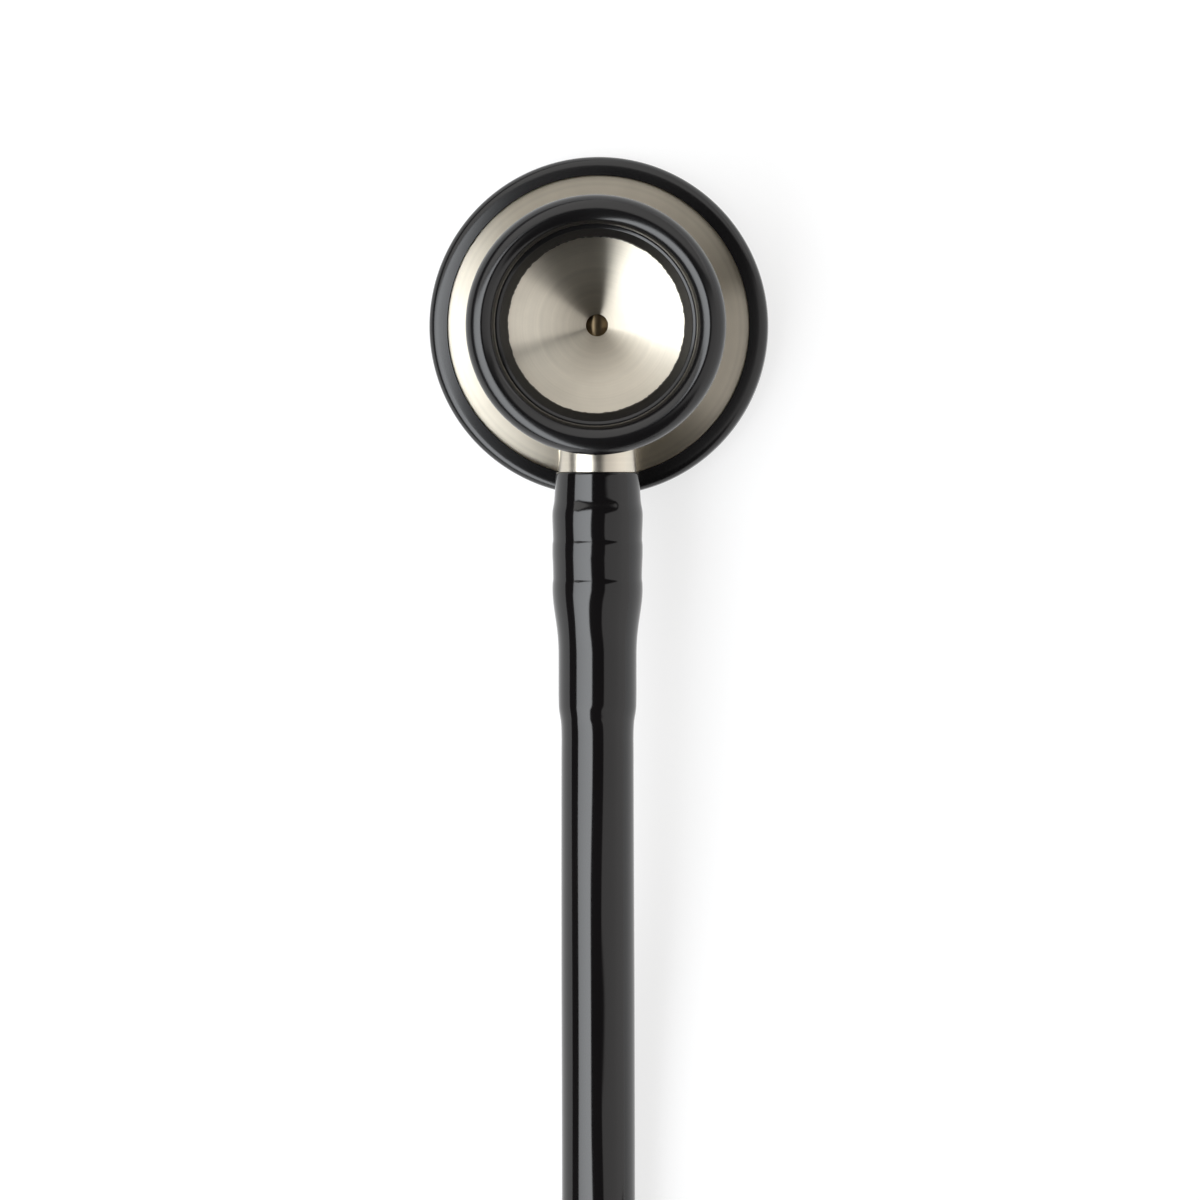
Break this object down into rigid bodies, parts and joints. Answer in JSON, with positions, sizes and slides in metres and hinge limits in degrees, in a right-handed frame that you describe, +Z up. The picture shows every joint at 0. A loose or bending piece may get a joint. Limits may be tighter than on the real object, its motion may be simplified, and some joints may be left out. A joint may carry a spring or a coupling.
{
  "type": "stethoscope",
  "caption": "Dual-head stethoscope: turning chestpiece with bell and diaphragm, flexible tube laid in a loop, sprung headset with ear tubes and ear tips.",
  "frame": {"origin": "centre of the diaphragm rim's lower face, on which the head stands", "axes": "+Z up through the bell along the head's axis; the stem, the tube and the headset run towards -Y"},
  "size_m": [0.1744, 0.4692, 0.0281],
  "materials": {
    "turned_steel": "lathe-turned satin",
    "black_rubber": "smooth, half gloss",
    "seal_rubber": "matt",
    "disc_plastic": "fine grained",
    "spring_steel": "ground",
    "tube_pvc": "high gloss",
    "plated_tube": "polished",
    "sleeve_plastic": "satin",
    "tip_rubber": "soft matt"
  },
  "bodies": {
    "tubing": {"stem": "turned_steel", "stem_clip": "spring_steel", "inner_o_ring": "seal_rubber", "outer_o_ring": "seal_rubber", "tube_socket": "tube_pvc", "tube": "tube_pvc", "yoke": "tube_pvc", "leaf_spring": "spring_steel"},
    "chestpiece": {"chestpiece_body": "turned_steel", "bell_rim": "black_rubber", "diaphragm_rim": "black_rubber", "diaphragm_surround": "seal_rubber", "detent_ball": "spring_steel", "detent_spring": "spring_steel", "detent_screw": "spring_steel"},
    "diaphragm": {"diaphragm": "disc_plastic"},
    "arm_left": {"arm_left": "tube_pvc"},
    "arm_right": {"arm_right": "tube_pvc"},
    "ear_tube_left": {"ear_tube_left": "plated_tube", "tip_sleeve_left": "sleeve_plastic"},
    "ear_tube_right": {"ear_tube_right": "plated_tube", "tip_sleeve_right": "sleeve_plastic"},
    "ear_tip_left": {"ear_tip_left": "tip_rubber"},
    "ear_tip_right": {"ear_tip_right": "tip_rubber"}
  },
  "joints": [
    {"name": "head_turn", "type": "hinge", "parent": "tubing", "child": "chestpiece", "pos_m": [0, 0, 0.013], "axis": [0, 1, 0], "continuous": true},
    {"name": "diaphragm_press", "type": "slide", "parent": "chestpiece", "child": "diaphragm", "axis": [0, 0, 1], "range_m": [0, 0.0004], "stiffness_N_per_m": 100, "deforming": ["diaphragm_surround"]},
    {"name": "arm_right_open", "type": "hinge", "parent": "tubing", "child": "arm_right", "pos_m": [-0.0115, -0.236, 0.005], "axis": [0, 0, 1], "range_deg": [0, 14], "stiffness_Nm_per_rad": 0.3, "deforming": ["leaf_spring"]},
    {"name": "arm_left_open", "type": "hinge", "parent": "tubing", "child": "arm_left", "pos_m": [-0.0245, -0.236, 0.005], "axis": [0, 0, -1], "range_deg": [0, 14], "stiffness_Nm_per_rad": 0.3, "deforming": ["leaf_spring"]},
    {"name": "ear_tube_right_swivel", "type": "hinge", "parent": "arm_right", "child": "ear_tube_right", "pos_m": [0.02254, -0.32469, 0.00411], "axis": [0.3584, -0.9335, -0.0094], "range_deg": [-15, 15]},
    {"name": "ear_tube_left_swivel", "type": "hinge", "parent": "arm_left", "child": "ear_tube_left", "pos_m": [-0.05854, -0.32469, 0.00411], "axis": [-0.3584, -0.9335, -0.0094], "range_deg": [-15, 15]},
    {"name": "ear_tip_right_pull", "type": "slide", "parent": "ear_tube_right", "child": "ear_tip_right", "axis": [-0.9486, -0.098, 0.3008], "range_m": [0, 0.0065]},
    {"name": "ear_tip_left_pull", "type": "slide", "parent": "ear_tube_left", "child": "ear_tip_left", "axis": [0.9486, -0.098, 0.3008], "range_m": [0, 0.0065]}
  ],
  "couplings": [
    {"joint": "arm_left_open", "follows": "arm_right_open", "ratio": 1}
  ]
}
